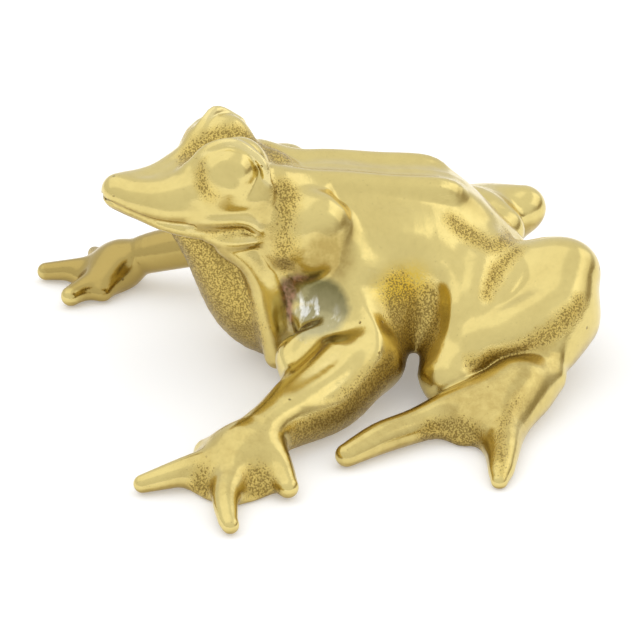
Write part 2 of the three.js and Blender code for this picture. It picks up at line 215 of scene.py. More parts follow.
RIGHT_LID = [(-4, -31, 42, 1.2), (-5.4, -27.9, 46.8, 1.1), (-7.2, -24.6, 50.2, 1), (-8.8, -20.4, 47.6, 1),
             (-10.6, -18.4, 45, 0.9), (-11.3, -18.7, 39.6, 0.9)]
SHELF = [(9.6, -28.5, 39.4, 0.8), (11.4, -24.5, 38.7, 0.9), (11.8, -20.5, 39.3, 0.8)]
UPPER_ROLL = [(8.8, -33, 34.8, 0.9), (10.8, -28.5, 35.2, 1.3), (12, -23.5, 35.2, 1.3),
              (12.6, -20.8, 33.4, 1.1)]
MOUND = ((6, -23.4, 43), (4.6, 6.2, 6.8))
EYE = ((8.2, -25.1, 43.5), (4.6, 5.2, 5.2))
EYE_FACET = ((0.93, -0.28, 0.24), 4.1)


def lid_width(P):
    """Crisp along the eye, soft where the lid runs out on the snout."""
    return 0.7 + 2.3 * ramp(-P[:, 1], 25, 30)


def eye_width(P):
    """Soft in front and below, crisp behind and above."""
    (_, y, z), (_, _, reach) = EYE
    return 2.8 - 2.3 * ramp((P[:, 1] - y) + (P[:, 2] - z), -0.6 * reach, 0.6 * reach)


def eyeball(side):
    """The eye's ball with a flat worn on its outer face."""
    centre, radii = EYE
    (nx, ny, nz), reach = EYE_FACET
    centre, normal = np.array(centre) * (side, 1, 1), np.array((side * nx, ny, nz))
    whole_ball = ball(centre, radii)
    return lambda P: smax(whole_ball(P), (P - centre) @ normal - reach, 0.5)


HEAD_LIMBS = ((LIP, 4), (HEAD_SIDE, 3), (LOREAL, 2.5), (CANTHUS, 4), (CHEEK, 2.5), (SHELF, 1.2),
              (UPPER_ROLL, 1.2))
head_forms = []
for side, lid in ((1, LID), (-1, RIGHT_LID)):
    for points, width in HEAD_LIMBS:
        head_forms.append((tube(points if side > 0 else flip(points)), width))
    (x, *rest), radii = MOUND
    head_forms.append((ball((side * x, *rest), radii), 4))
    head_forms.append((tube(lid), lid_width))
    head_forms.append((eyeball(side), eye_width))
head = blended(tube(CORE), *head_forms)

# Lower jaw and throat
THROAT = [(0, -33.5, 31.5, 3), (0, -27.4, 25.2, 5.8), (0, -18, 14, 10.5), (0, -13.4, 8.2, 9)]
JAW = [(1, -45.8, 37.4, 1.2), (5.8, -38.4, 33.6, 1.3), (8.8, -30, 31.8, 1.4), (10.6, -24, 31.2, 1.5),
       (11.4, -20, 31.4, 1.5)]
THROAT_EDGE = [(9.4, -26.5, 29.4, 1), (11.2, -21.6, 24, 1.2), (12, -19.2, 13.8, 1.8), (12, -17.2, 5.2, 2.6)]
LOWER_ROLL = [(9.2, -29.5, 31, 0.9), (11.2, -25.5, 30.6, 1.2), (12.4, -21.8, 31, 1.1)]
GUM = [(8, -33, 33.8, 1.2), (9, -28, 33.2, 2), (9.8, -23, 32.8, 2)]
GORGE = [(9, -26, 28.6, 2), (10, -21.5, 26, 3), (10.6, -18, 20, 3.2), (10.4, -16, 12, 3)]
throat = blended(tube(THROAT), *pair(JAW, 3), *pair(THROAT_EDGE, 4), *pair(GORGE, 2.5), *pair(LOWER_ROLL, 1),
                 *pair(GUM, 0.8))

# Mouth line, a groove
MOUTH = [(0, -48.2, 38.1, 0.3), (2.4, -47.5, 37.6, 0.35), (4.4, -45.7, 36.9, 0.4), (7.1, -39.7, 34.6, 0.45),
         (9.6, -33, 33.9, 0.45)]
mouth_grooves = pair(MOUTH, 0.6)

# Left foreleg, from the lobe of the shoulder to the hand, with the pocket scooped out of the armpit
SHOULDER = ((13, -9.6, 30), (5.6, 7.8, 9))
LEFT_ARM = [(12.6, -4.2, 28.8, 3.2), (16.6, -3.8, 25.5, 3.2), (19.4, -4.4, 21.6, 3), (22.8, -3.4, 18.3, 2.8),
            (26.5, -3.8, 16, 2.8), (30, -5, 13.6, 3.2)]
ARM_WEB = [(15.4, 1, 22.5, 2.6), (18.4, 1.4, 17.5, 3.8), (21.4, 0.8, 11.5, 4.8), (24.6, -2, 7.5, 4.8)]
LEFT_FOREARM = [(27, -2.8, 9.8, 5.8), (33.5, -12.2, 6.8, 6.6), (40, -23, 5.2, 4.4), (45, -31, 4.6, 4.2)]
CREST = [(29.5, -5, 13.8, 1.5), (34.6, -11, 12, 1.2), (39.6, -19.6, 10, 1.1), (44.6, -26.8, 8.2, 1.2),
         (47.5, -28.8, 7, 1.2)]
INNER_RIDGE = [(28.6, -10.7, 13.4, 1), (32, -15.8, 11.8, 1), (37.2, -23, 9.6, 1), (43, -29.2, 8, 1)]
FOREARM_FRONT = [(24.4, -15.4, 9.4, 4.6), (29.5, -16.6, 7.6, 4.2), (36.2, -20.8, 6, 3)]
FOREARM_TOP = [(22.6, -16.4, 11.2, 1.6), (24, -13, 13.2, 1.8), (27, -8, 14.8, 2)]
ARMPIT = [(10.8, -10, 22.4, 4.2), (14.4, -9.8, 14.8, 4.8), (21, -8, 9.5, 5)]
ARM_ROOT = [(12.5, -6.8, 25.5, 4.4), (15.4, -6.4, 20, 4.4), (19.8, -6, 14, 4.6)]
POCKET = ((37.5, -17, 29.5), (20.3, 20.3, 20.3))
LEFT_PALM = (46.5, -33, 4.6, 3)
LEFT_FINGERS = [[(47.6, -42, 3.4, 2.8), (48.1, -51.6, 2, 1.7)],
                [(57, -38.1, 3.2, 2.5), (63.6, -39.4, 2.2, 1.9), (65.8, -39.4, 1.8, 1.6)],
                [(49.8, -27.8, 4, 3.1), (56.8, -26.6, 2.4, 2)], [(41, -38.2, 3, 2)]]
LEFT_WEB = ((48.4, -34.8, 1), (8.6, 8.2, 3.4))
left_arm = blended(tube(ARMPIT), (tube(ARM_ROOT), 4), (ball(*SHOULDER), 1), (tube(LEFT_ARM), 3.5),
                   (tube(ARM_WEB), 4), (tube(LEFT_FOREARM), 5.5), (tube(FOREARM_FRONT), 4.5),
                   (tube(FOREARM_TOP), 5.5))
left_foreleg = blended(hollowed(left_arm, ball(*POCKET), 1), (tube(CREST), 5), (tube(INNER_RIDGE), 6),
                       *[(tube([LEFT_PALM, *finger]), 4.5) for finger in LEFT_FINGERS], (ball(*LEFT_WEB), 3))

# Right foreleg, reaching further forward
RIGHT_ARM = [(-14.2, -7, 28, 4), (-18, -8, 22, 4.1), (-22, -9.5, 16, 4.4), (-25, -11, 12.5, 5)]
RIGHT_FOREARM = [(-25, -10.5, 13.6, 5), (-30.5, -21, 10.8, 4.5), (-34.5, -31, 8.4, 4.4), (-38, -37, 5.6, 3.8)]
RIGHT_PALM = (-38.6, -39.5, 3.8, 3)
RIGHT_FINGERS = [(-43.8, -54, 2.1, 1.9), (-30.5, -51, 2.2, 2.1), (-50.6, -42.3, 1.8, 1.5),
                 (-30.5, -44, 2, 1.5)]
RIGHT_WEB = ((-40, -43, 1), (5.4, 5.4, 2.4))
right_foreleg = blended(mirrored(ball(*SHOULDER)), (tube(RIGHT_ARM), 3), (tube(RIGHT_FOREARM), 3),
                        *[(tube([RIGHT_PALM, tip]), 4.5) for tip in RIGHT_FINGERS], (ball(*RIGHT_WEB), 3))

# Hind legs, with points given for the left side. Thigh, shank and foot melt together towards the heel, and
# the right leg has a thigh and a shank of its own.
THIGH_FRONT = [(14.5, 26, 20.5, 4.6), (19, 20.5, 20, 5), (23.5, 18, 16, 5.2), (26, 16.5, 9, 5.6)]
THIGH = [(11.6, 38.8, 15.8, 6.4), (15.5, 32, 18.4, 6.2), (20.5, 26, 16.6, 6), (25, 21, 13.5, 5.6)]
SHANK = [(27.5, 19, 11.5, 6), (28, 26, 12.6, 6.4), (24.5, 34.9, 14.7, 7), (19.2, 39.5, 19.5, 6.9)]
RIGHT_THIGH_FRONT = [(13.5, 27, 19, 4.6), (19, 20.5, 20, 5), (23.5, 18, 16, 5.2), (26, 16.5, 9, 5.6)]
RIGHT_THIGH = [(10.5, 36, 16, 5.2), (15.5, 32, 17.6, 6), (20.5, 26, 16.6, 6), (25, 21, 13.5, 5.6)]
RIGHT_SHANK = [(27.5, 19, 11.5, 6), (28, 26, 12.4, 6.4), (24.5, 34.5, 14, 6), (19.5, 44.2, 16, 4.9)]
KNEE = [(26.5, 16, 8, 6.9), (31, 12.2, 6, 5.8)]
THIGH_RIM = [(20, 16.4, 22, 1), (24.6, 15.2, 19.4, 1), (27.4, 14.2, 15.5, 1), (29, 12.8, 10.5, 1)]
FOOT = [(23, 39, 10.5, 5.8), (32, 30.8, 7, 4.6), (45.5, 18.5, 4.6, 3.6), (56, 15, 3, 2.2),
        (62.8, 11.8, 1.5, 0.9)]
INNER_TOE = [(37, 22, 5.6, 4.4), (39.8, 11, 4.1, 4.2), (42.8, 2, 3.5, 3.3), (45.4, -5.8, 3.3, 3),
             (48.4, -13.2, 2.4, 2.2)]
FOOT_WEB = [(38, 24, 5.4, 4.4), (43, 15.4, 3.2, 3.8), (45.6, 10.4, 1.8, 2.2)]
OUTER_WEB = [(46, 15.6, 3, 3), (51.6, 14.2, 1.8, 1.8), (59.4, 13, 1.5, 1.1)]
OUTER_EDGE = [(36, 31, 5.6, 2.6), (44.2, 22.8, 3.4, 2.2), (53.4, 16.6, 2.3, 1.6), (58.4, 13.6, 1.8, 1.2),
              (63, 11.6, 1.2, 0.7)]


def heel_width(P):
    """Crisp at the knee, soft at the heel."""
    return 1 + 5 * ramp(P[:, 1], 25, 38)


foot = blended(tube(FOOT), (tube(INNER_TOE), 5), (tube(FOOT_WEB), 5), (tube(OUTER_WEB), 3.5),
               (tube(OUTER_EDGE), 3))


def hind_leg(front, thigh, shank):
    return blended(tube(front), (tube(thigh), 1.4), (tube(shank), heel_width), (tube(KNEE), 2.5),
                   (tube(THIGH_RIM), 2), (foot, heel_width))


left_hind_leg = hind_leg(THIGH_FRONT, THIGH, SHANK)
right_hind_leg = mirrored(hind_leg(RIGHT_THIGH_FRONT, RIGHT_THIGH, RIGHT_SHANK))

FORMS = {"torso_casting": torso, "head_casting": head, "throat_casting": throat, "left_foreleg": left_foreleg,
         "right_foreleg": right_foreleg, "left_hind_leg": left_hind_leg, "right_hind_leg": right_hind_leg}


def foreleg_width(P):
    """Wide behind the arm and on the neck, tight under the lobe of the shoulder."""
    _, y, z = P.T
    behind = ramp(y, -8, 0) * (1 - ramp(z, 23, 34))
    before = ramp(z - y, 40, 46)
    overhang = ramp(-y, 6, 9) * (1 - ramp(z, 26, 29))
    return 1.8 - overhang + 4.7 * behind + 3 * before


def hind_leg_width(P):
    """Wider on the rump and in front of the thigh."""
    x, y, z = P.T
    return 2.5 + 3 * ramp(z, 19, 25) * ramp(np.abs(x), 0, 5) + 3 * (1 - ramp(y, 14, 20))


JOIN_WIDTHS = {"left_foreleg": foreleg_width, "right_foreleg": foreleg_width, "left_hind_leg": hind_leg_width,
               "right_hind_leg": hind_leg_width}
HEAD_JOIN, THROAT_JOIN, SOLE_ROUNDING = 0.9, 1.2, 0.6


def whole(P):
    """The whole frog, flat where it stands on the table."""
    d = smin(smin(torso(P), head(P), HEAD_JOIN), throat(P), THROAT_JOIN)
    for form, width in mouth_grooves:
        d = smax(d, -form(P), width)
    for name, width in JOIN_WIDTHS.items():
        d = smin(d, FORMS[name](P), width(P))
    return smax(d, -P[:, 2], SOLE_ROUNDING)


# Where the casting was left sandy, for both sides alike: rows of x, y, z and reach along each zone
SANDY = [
    [(11.4, -15.3, 40.3, 2.5), (13.4, -15.3, 36, 2.5), (14.8, -15.6, 31.4, 2.8), (14.8, -16.3, 27.7, 2.5)],
    [(0, -33, 30, 8), (0, -26, 22, 11), (0, -20, 12, 13)],
    [(0, -29, 44, 4.5), (0, -22, 45, 5), (0, -16, 43, 5)],
    [(7.2, -30, 45.6, 1.4), (9.2, -30.6, 43, 1.6), (10.8, -29.6, 40.6, 1.2)],
    [(10.8, -31, 33.6, 1), (12.4, -26, 33.2, 1.4), (12.8, -21.5, 32.4, 1.2)],
    [(19.6, 4.4, 20.6, 3.6), (21.5, 5.5, 15, 6), (22, 5.5, 9, 7.5), (20, 7.5, 5, 6)],
    [(20, 10.4, 18.5, 2.6), (23.4, 10.2, 12, 3.6), (26.4, 9.4, 6.5, 4)],
    [(33, -1.5, 11, 3.6), (37.5, -6.5, 7.5, 4.6), (41, -13, 5, 4.6), (44, -20, 4, 4)],
    [(50, -40, 3, 2.6), (52.5, -41.5, 2, 2.6)],
    [(54, -31.5, 3.4, 2.8), (57, -31.5, 1.6, 3)],
    [(16.4, 30.4, 24.6, 1.3), (21.1, 25, 23.1, 1.5), (25.8, 21, 20.7, 1.2)],
    [(12, 18, 30, 1.8), (14.5, 22, 27.5, 2.4), (16.5, 26, 26, 1.8), (9, 32, 24.5, 2)],
    [(34, 15.2, 10.6, 1.2), (34.4, 21.2, 11.2, 1.5), (34.4, 27.1, 12.9, 1.7), (32.5, 33.8, 15.6, 1.8),
     (29.5, 38.5, 18, 1.5)],
    [(45.6, 3.8, 3, 2.6), (47, 9, 2.5, 3.6), (49.6, 13.4, 1.6, 2.6)],
    [(46.3, 20.7, 8.5, 0.8), (52, 15.9, 6.7, 1), (57, 13.5, 5.3, 1), (63, 12.3, 3.4, 0.8)],
]
# Where the brass has dulled: a zone on the left side, or on the right one with x below zero, and how much
DULL = [
    ([(-25, -11, 14, 6), (-35, -32, 8, 7), (-40, -42, 4, 13)], 1.3),
    ([(34, 28, 9, 5), (46, 14, 5, 8), (54, 12, 3, 5)], 0.55),
    ([(46, -31, 7, 6), (52, -36, 3, 9)], 0.3),
    ([(11, -19, 38, 3), (12, -19, 32, 3), (11, -21, 26, 3)], 0.45),
    ([(18.4, -8.6, 29, 4.2), (17, -12, 26.5, 2.4)], 1),
    ([(46, 0, 4, 4), (49, -12, 3, 3)], 0.3),
    ([(21.5, 4, 16.5, 4), (22, 5.5, 9, 7.5)], 0.55),
    ([(32, 0, 9, 5), (38, -8, 5, 5), (44, -20, 3, 4)], 0.7),
]
# Brazing metal in the left armpit, painted shade and a painted coppery reflection along its margins, and a
# painted gold reflection in the hollow behind the arm
BRAZED = [(15, -14, 21, 4), (19.4, -8.4, 20.4, 4.2), (21.4, -8.6, 17, 4.6), (19, -13, 13.6, 6.4)]
# Painted shade and painted coppery reflection: zones along the pocket's margins
MARGIN_SHADE_ZONES = [
    [(17, -10, 24.4, 0.6), (15.4, -14, 23.4, 1.6), (14.4, -15.6, 20.6, 2), (14.6, -15.4, 15, 1.2),
     (15.4, -15, 11.4, 0.8)],
    [(20, -5.2, 22.2, 0.3), (21.6, -4.8, 19.6, 0.7), (22.8, -5, 17.4, 0.3)],
]
# Painted gold reflection: a zone in the hollow behind the arm
PAINTED_REFLECTION_ZONE = [(20, 1.5, 20.6, 3.6), (19.6, 4.5, 21.4, 4.2), (18.8, 8, 22, 3.8)]
# How far inside and outside a zone's surface its mask fades
SANDY_FADE = (-2.2, 2.6)
DULL_FADE = (-2, 3)
BRAZED_FADE = (-3, 1.5)
MARGIN_SHADE_FADE = (-2, 1.5)
PAINTED_REFLECTION_FADE = (-3.5, 1.5)
sandy_zones = [tube(zone) for zone in SANDY]
dull_zones = [(tube(zone), amount) for zone, amount in DULL]
margin_shade_tubes = [tube(zone) for zone in MARGIN_SHADE_ZONES]
brazed_zone, painted_reflection_zone = tube(BRAZED), tube(PAINTED_REFLECTION_ZONE)


def sandiness(P):
    Q = P * np.where(P[:, :1] < 0, np.array([[-1.0, 1.0, 1.0]]), 1.0)
    return np.max([1 - ramp(zone(Q), *SANDY_FADE) for zone in sandy_zones], 0)


def dullness(P):
    return np.max([amount * (1 - ramp(zone(P), *DULL_FADE)) for zone, amount in dull_zones], 0)


def brazing(P):
    return 1 - ramp(brazed_zone(P), *BRAZED_FADE)


# Mask of the painted shade and coppery reflection on the pocket's margins
def margin_shade_mask(P):
    return np.max([1 - ramp(zone(P), *MARGIN_SHADE_FADE) for zone in margin_shade_tubes], 0)


# Mask of the painted gold reflection
def painted_reflection_mask(P):
    return 1 - ramp(painted_reflection_zone(P), *PAINTED_REFLECTION_FADE)


def lattice(cells):
    """A number from 0 to 1 for each whole-number place."""
    n = (cells * np.array([73856093, 19349663, 83492791])).sum(-1) & 0x7FFFFFFF
    n = (n ^ (n >> 13)) * 1274126177 & 0x7FFFFFFF
    return ((n ^ (n >> 16)) & 0xFFFF) / 65535.0


def grain(P, size):
    """Smooth lumps about one size across, from 0 to 1."""
    q = P / size
    base = np.floor(q).astype(np.int64)
    t = q - base
    t = t * t * (3 - 2 * t)
    total = np.zeros(len(P))
    for corner in [(i, j, k) for i in (0, 1) for j in (0, 1) for k in (0, 1)]:
        weight = np.prod(np.where(np.array(corner) == 1, t, 1 - t), 1)
        total += weight * lattice(base + np.array(corner))
    return total


def evaluate(field, P):
    """A field at many points, in chunks side by side."""
    chunks = np.array_split(P, max(1, len(P) // CHUNK))
    with ThreadPoolExecutor(THREADS) as pool:
        return np.concatenate(list(pool.map(field, chunks)))


TETRA = np.array([(1, 1, 1), (1, -1, -1), (-1, 1, -1), (-1, -1, 1)], float)


def value_and_slope(field, P, reach=0.04):
    """A field and its gradient, from four points close around each place."""
    f = np.stack([evaluate(field, P + reach * corner) for corner in TETRA])
    return f.mean(0), f.T @ TETRA / (4 * reach)


def surface_nets(field, low, high, step):
    """A closed quad mesh of the field's zero surface."""
    n = np.ceil((np.asarray(high) - low) / step).astype(int) + 1
    axes = [low[i] + step * np.arange(n[i]) for i in range(3)]
    skip = 4
    coarse = [axis[::skip] for axis in axes]
    f = evaluate(field, np.stack(np.meshgrid(*coarse, indexing="ij"), -1).reshape(-1, 3))
    f = f.reshape([len(axis) for axis in coarse])
    for d in range(3):
        nearest = np.clip((np.arange(n[d]) + skip // 2) // skip, 0, f.shape[d] - 1)
        f = np.take(f, nearest, axis=d)
    near = np.argwhere(np.abs(f) < skip * step + 1.5)
    f[tuple(near.T)] = evaluate(field, np.stack([axes[i][near[:, i]] for i in range(3)], 1))
    inside = f < 0
    corners = [(i, j, k) for i in (0, 1) for j in (0, 1) for k in (0, 1)]

    def at(grid, corner):
        return grid[tuple(slice(c, m - 1 + c) for c, m in zip(corner, n))]
    total = sum(at(inside, corner).astype(int) for corner in corners)
    active = (total > 0) & (total < 8)
    cells = np.argwhere(active)
    number = np.full(n - 1, -1)
    number[active] = np.arange(len(cells))
    place, count = np.zeros((len(cells), 3)), np.zeros(len(cells))
    for corner in corners:
        for d in range(3):
            if corner[d]:
                continue
            other = tuple(1 if i == d else c for i, c in enumerate(corner))
            fa, fb = at(f, corner)[active], at(f, other)[active]
            crossed = (fa < 0) != (fb < 0)
            spot = np.tile(np.array(corner, float), (len(cells), 1))
            spot[:, d] += np.where(crossed, fa / np.where(crossed, fa - fb, 1), 0)
            place[crossed] += spot[crossed]
            count[crossed] += 1
    points = low + step * (cells + place / count[:, None])
    quads = []
    for d in range(3):
        u, v = np.eye(3, dtype=int)[(d + 1) % 3], np.eye(3, dtype=int)[(d + 2) % 3]
        first = inside[tuple(slice(0, m - 1) if i == d else slice(0, m) for i, m in enumerate(n))]
        second = inside[tuple(slice(1, m) if i == d else slice(0, m) for i, m in enumerate(n))]
        edge = np.argwhere(first != second)
        quad = np.stack([number[tuple((edge - o).T)] for o in (u + v, v, 0 * u, u)], 1)
        outward = first[tuple(edge.T)]
        quad[~outward] = quad[~outward][:, ::-1]
        quads.append(quad)
    return points, np.vstack(quads)


def subdivide(points, quads):
    """Each quad in four."""
    edges = np.sort(np.stack([quads, np.roll(quads, -1, 1)], -1).reshape(-1, 2), 1)
    key = edges[:, 0].astype(np.int64) * len(points) + edges[:, 1]
    _, first, back = np.unique(key, return_index=True, return_inverse=True)
    middles = points[edges[first]].mean(1)
    middle = (len(points) + back).reshape(quads.shape)
    centre = len(points) + len(middles) + np.arange(len(quads))
    faces = [np.stack([quads[:, i], middle[:, i], centre, middle[:, i - 1]], 1) for i in range(4)]
    return np.vstack([points, middles, points[quads].mean(1)]), np.vstack(faces)


def settled(field, points, rounds):
    """Points moved onto the zero surface."""
    for _ in range(rounds):
        value, slope = value_and_slope(field, points)
        step = (value / np.maximum((slope * slope).sum(1), 0.1))[:, None] * slope
        size = np.linalg.norm(step, axis=1, keepdims=True)
        points = points - step * np.minimum(1, 0.5 / np.maximum(size, 1e-9))
    return points


def islands(inside, edges):
    """The same choice of points without its islands and holes: one patch, and one rest."""
    for side in (True, False):
        member = inside == side
        kept = edges[member[edges].all(1)]
        label = np.arange(len(inside))
        while True:
            before = label.copy()
            low = np.minimum(label[kept[:, 0]], label[kept[:, 1]])
            np.minimum.at(label, kept[:, 0], low)
            np.minimum.at(label, kept[:, 1], low)
            label = label[label]
            if (label == before).all():
                break
        names, sizes = np.unique(label[member], return_counts=True)
        largest = names[sizes.argmax()]
        inside = np.where(member & (label != largest), not side, inside)
    return inside


def split(rows, triangles, g):
    """A closed mesh cut where g is zero into the part where g is negative and the rest, each closed again."""
    edges = np.unique(np.sort(triangles[:, [0, 1, 1, 2, 2, 0]].reshape(-1, 2), 1), axis=0)
    inside = islands(g < 0, edges)
    g = np.where(inside, -1, 1) * np.maximum(np.abs(g), 1e-3)
    hits = inside[triangles].sum(1)
    mixed = triangles[(hits == 1) | (hits == 2)]
    tip_in = inside[mixed].sum(1) == 1
    lone = np.where(tip_in[:, None], inside[mixed], ~inside[mixed]).argmax(1)
    a, b, c = np.take_along_axis(mixed, (lone[:, None] + np.arange(3)) % 3, 1).T
    crossed = np.sort(np.concatenate([np.stack([a, b], 1), np.stack([a, c], 1)]), 1)
    crossed, back = np.unique(crossed, axis=0, return_inverse=True)
    back = back.reshape(-1)
    t = g[crossed[:, 0]] / (g[crossed[:, 0]] - g[crossed[:, 1]])
    seam = rows[crossed[:, 0]] + t[:, None] * (rows[crossed[:, 1]] - rows[crossed[:, 0]])
    ab, ac = len(rows) + back[:len(a)], len(rows) + back[len(a):]
    tips = np.stack([a, ab, ac], 1)
    bases = np.stack([np.stack([ab, b, c], 1), np.stack([ab, c, ac], 1)], 1)
    start = np.where(tip_in, ac, ab) - len(rows)
    end = np.where(tip_in, ab, ac) - len(rows)
    following = np.zeros(len(seam), int)
    following[start] = end
    loop, loops = np.full(len(seam), -1), 0
    for first in range(len(seam)):
        at = first
        while loop[at] < 0:
            loop[at] = loops
            at = following[at]
        loops = loop.max() + 1
    centres = np.stack([seam[loop == i].mean(0) for i in range(loops)])
    cap = len(rows) + np.stack([start, end, len(seam) + loop[start]], 1)
    rows = np.vstack([rows, seam, centres])
    part = np.vstack([triangles[hits == 3], tips[tip_in], bases[~tip_in].reshape(-1, 3), cap])
    rest = np.vstack([triangles[hits == 0], tips[~tip_in], bases[tip_in].reshape(-1, 3), cap[:, ::-1]])
    return rows, part, rest


def compact(rows, triangles):
    """A mesh without the rows that none of its triangles uses."""
    used, back = np.unique(triangles, return_inverse=True)
    return rows[used], back.reshape(-1, 3)


# How far out a hollow's sides are felt, with each reach's weight, and how far in a ridge's
HOLLOW_REACHES = ((0.8, 0.4), (2.0, 0.35), (4.5, 0.25))
RIDGE_REACH = 1.4
# Lumps of the sandy skin: their height and size
LUMPS = ((0.14, 0.9), (0.08, 0.5))
LUMP_SHIFT = 50
# Painted shade on faces that turn downwards: how far they are mixed toward the tarnish colour
UNDERSIDE_SHADE = 0.9


def sculpt():
    """The frog as one closed mesh: rows of place, normal and masks, and triangles."""
    points, quads = surface_nets(whole, np.array(ROOM_LOW), np.array(ROOM_HIGH), GRID)
    points = settled(whole, points, 1)
    points, quads = subdivide(points, quads)
    points = settled(whole, points, 2)
    _, slope = value_and_slope(whole, points)
    steepness = np.maximum(np.linalg.norm(slope, axis=1), 0.2)
    normals = slope / steepness[:, None]
    shut = np.zeros(len(points))
    for reach, weight in HOLLOW_REACHES:
        shut += weight * np.clip(1 - evaluate(whole, points + reach * normals) / (reach * steepness), 0, 1)
    edge = np.clip(1 + evaluate(whole, points - RIDGE_REACH * normals) / (RIDGE_REACH * steepness), 0, 1)
    sandy = np.clip(evaluate(sandiness, points) + 1.1 * np.clip(shut - 0.3, 0, 1), 0, 1)
    sandy *= 1 - 0.75 * ramp(edge, 0.05, 0.35)
    dull_and_underside_shade, *zones = [evaluate(zone, points) for zone in (dullness, brazing, margin_shade_mask, painted_reflection_mask)]
    # Painted shade on faces that turn downwards, joined to the dulled zones
    dull_and_underside_shade = np.maximum(dull_and_underside_shade, UNDERSIDE_SHADE * ramp(-normals[:, 2], 0, 0.4))
    lumps = 0
    for i, (height, size) in enumerate(LUMPS):
        lumps = lumps + height * (grain(points + i * LUMP_SHIFT, size) - 0.5)
    points = points + normals * (sandy * lumps)[:, None]
    points[:, 2] = np.maximum(points[:, 2], 0)
    swap = np.linalg.norm(points[quads[:, 0]] - points[quads[:, 2]], axis=1)
    swap = swap > np.linalg.norm(points[quads[:, 1]] - points[quads[:, 3]], axis=1)
    quads = np.where(swap[:, None], np.roll(quads, -1, 1), quads)
    triangles = np.vstack([quads[:, [0, 1, 2]], quads[:, [0, 2, 3]]])
    return np.column_stack([points, normals, shut, edge, sandy, dull_and_underside_shade, *zones]), triangles


def to_object(name, points, faces):
    mesh = bpy.data.meshes.new(name)
    mesh.from_pydata(np.asarray(points).tolist(), [], np.asarray(faces).tolist())
    item = bpy.data.objects.new(name, mesh)
    bpy.context.scene.collection.objects.link(item)
    return item


def node(tree, kind, values=None, **settings):
    made = tree.nodes.new(kind)
    for key, value in settings.items():
        setattr(made, key, value)
    for key, value in (values or {}).items():
        if isinstance(value, bpy.types.NodeSocket):
            tree.links.new(value, made.inputs[key])
        else:
            made.inputs[key].default_value = value
    return made


def math_node(tree, operation, *values):
    return node(tree, "ShaderNodeMath", dict(enumerate(values)), operation=operation).outputs[0]


def spread(tree, value, low, high, to_low=0.0, to_high=1.0):
    names = ("Value", "From Min", "From Max", "To Min", "To Max")
    values = dict(zip(names, (value, low, high, to_low, to_high)))
    return node(tree, "ShaderNodeMapRange", values).outputs["Result"]


def colour_mix(tree, factor, a, b):
    mix = node(tree, "ShaderNodeMix", data_type="RGBA")
    for socket, value in ((mix.inputs[0], factor), (mix.inputs[6], a), (mix.inputs[7], b)):
        if isinstance(value, bpy.types.NodeSocket):
            tree.links.new(value, socket)
        else:
            socket.default_value = value
    return mix.outputs[2]


def noise(tree, where, scale, detail=3.0, roughness=0.55):
    values = {"Vector": where, "Scale": scale, "Detail": detail, "Roughness": roughness}
    return node(tree, "ShaderNodeTexNoise", values).outputs[0]


def new_material(name):
    material = bpy.data.materials.new(name)
    material.use_nodes = True
    tree = material.node_tree
    shader = tree.nodes["Principled BSDF"]
    where = node(tree, "ShaderNodeTexCoord").outputs["Object"]
    return material, tree, shader, where


# What the castings' points carry for the brass: hollows, ridges, sandy skin, dulled zones with painted shade
# on the undersides, brazing metal, painted shade and coppery reflection on the pocket's margins, and painted
# gold reflection in the hollow behind the arm
MASKS = ("shut", "edge", "sandy", "dull_and_underside_shade", "brazed", "margin_shade", "painted_reflection")
POLISHED = (0.745, 0.617, 0.245, 1)
# Ridges, partly worn bright by rubbing and partly a painted highlight
RUBBED_AND_HIGHLIGHT = (0.86, 0.75, 0.38, 1)
# Tarnish, also used as painted shade on the undersides
TARNISH_AND_SHADE_COLOUR = (0.47, 0.35, 0.11, 1)
AS_CAST = (0.70, 0.53, 0.15, 1)
# Painted gold reflection for the hollow behind the arm
REFLECTED_GOLD = (0.78, 0.54, 0.06, 1)
PATINA = (0.16, 0.10, 0.025, 1)
BRAZE = (0.48, 0.43, 0.23, 1)
# Brazing metal with painted shade above and painted highlights in streaks
SHADED_BRAZE = (0.22, 0.195, 0.08, 1)
HIGHLIGHT_BRAZE = (0.86, 0.85, 0.76, 1)
# Painted shade and painted coppery reflection for the pocket's margins
PAINTED_MARGIN_SHADE = (0.15, 0.10, 0.045, 1)
PAINTED_COPPERY_REFLECTION = (0.36, 0.21, 0.13, 1)
DOWEL_DARK, DOWEL_LIGHT = (0.47, 0.29, 0.06, 1), (0.56, 0.37, 0.09, 1)
FELT_DARK, FELT_LIGHT = (0.030, 0.017, 0.010, 1), (0.075, 0.045, 0.028, 1)
FLOOR_DARK, FLOOR_LIGHT = (0.90, 0.90, 0.90, 1), (0.92, 0.92, 0.92, 1)
# Lumps to the metre, roughly, in each pattern of the brass
BLOTCHES, SAND, SWELL, WEAR, CLOUDS, DENTS, STREAKS, MARGIN_MOTTLE = 330, 2800, 110, 520, 75, 260, 420, 700
# Depths of the brass's relief
SWELL_DEPTH, PIT_DEPTH, SAND_DEPTH = 1 * MM, 0.2 * MM, 0.18 * MM
# Where the brazing metal gets its streaks of painted highlight, fading in forwards and downwards, and where
# painted shade darkens it upwards
STREAKED_FROM, STREAKED_TO = (-7 * MM, 22 * MM), (-11 * MM, 18 * MM)
DARKENS_FROM, DARKENS_TO = 15, 23


def mask_of(tree, name):
    return node(tree, "ShaderNodeAttribute", attribute_name=name).outputs["Fac"]


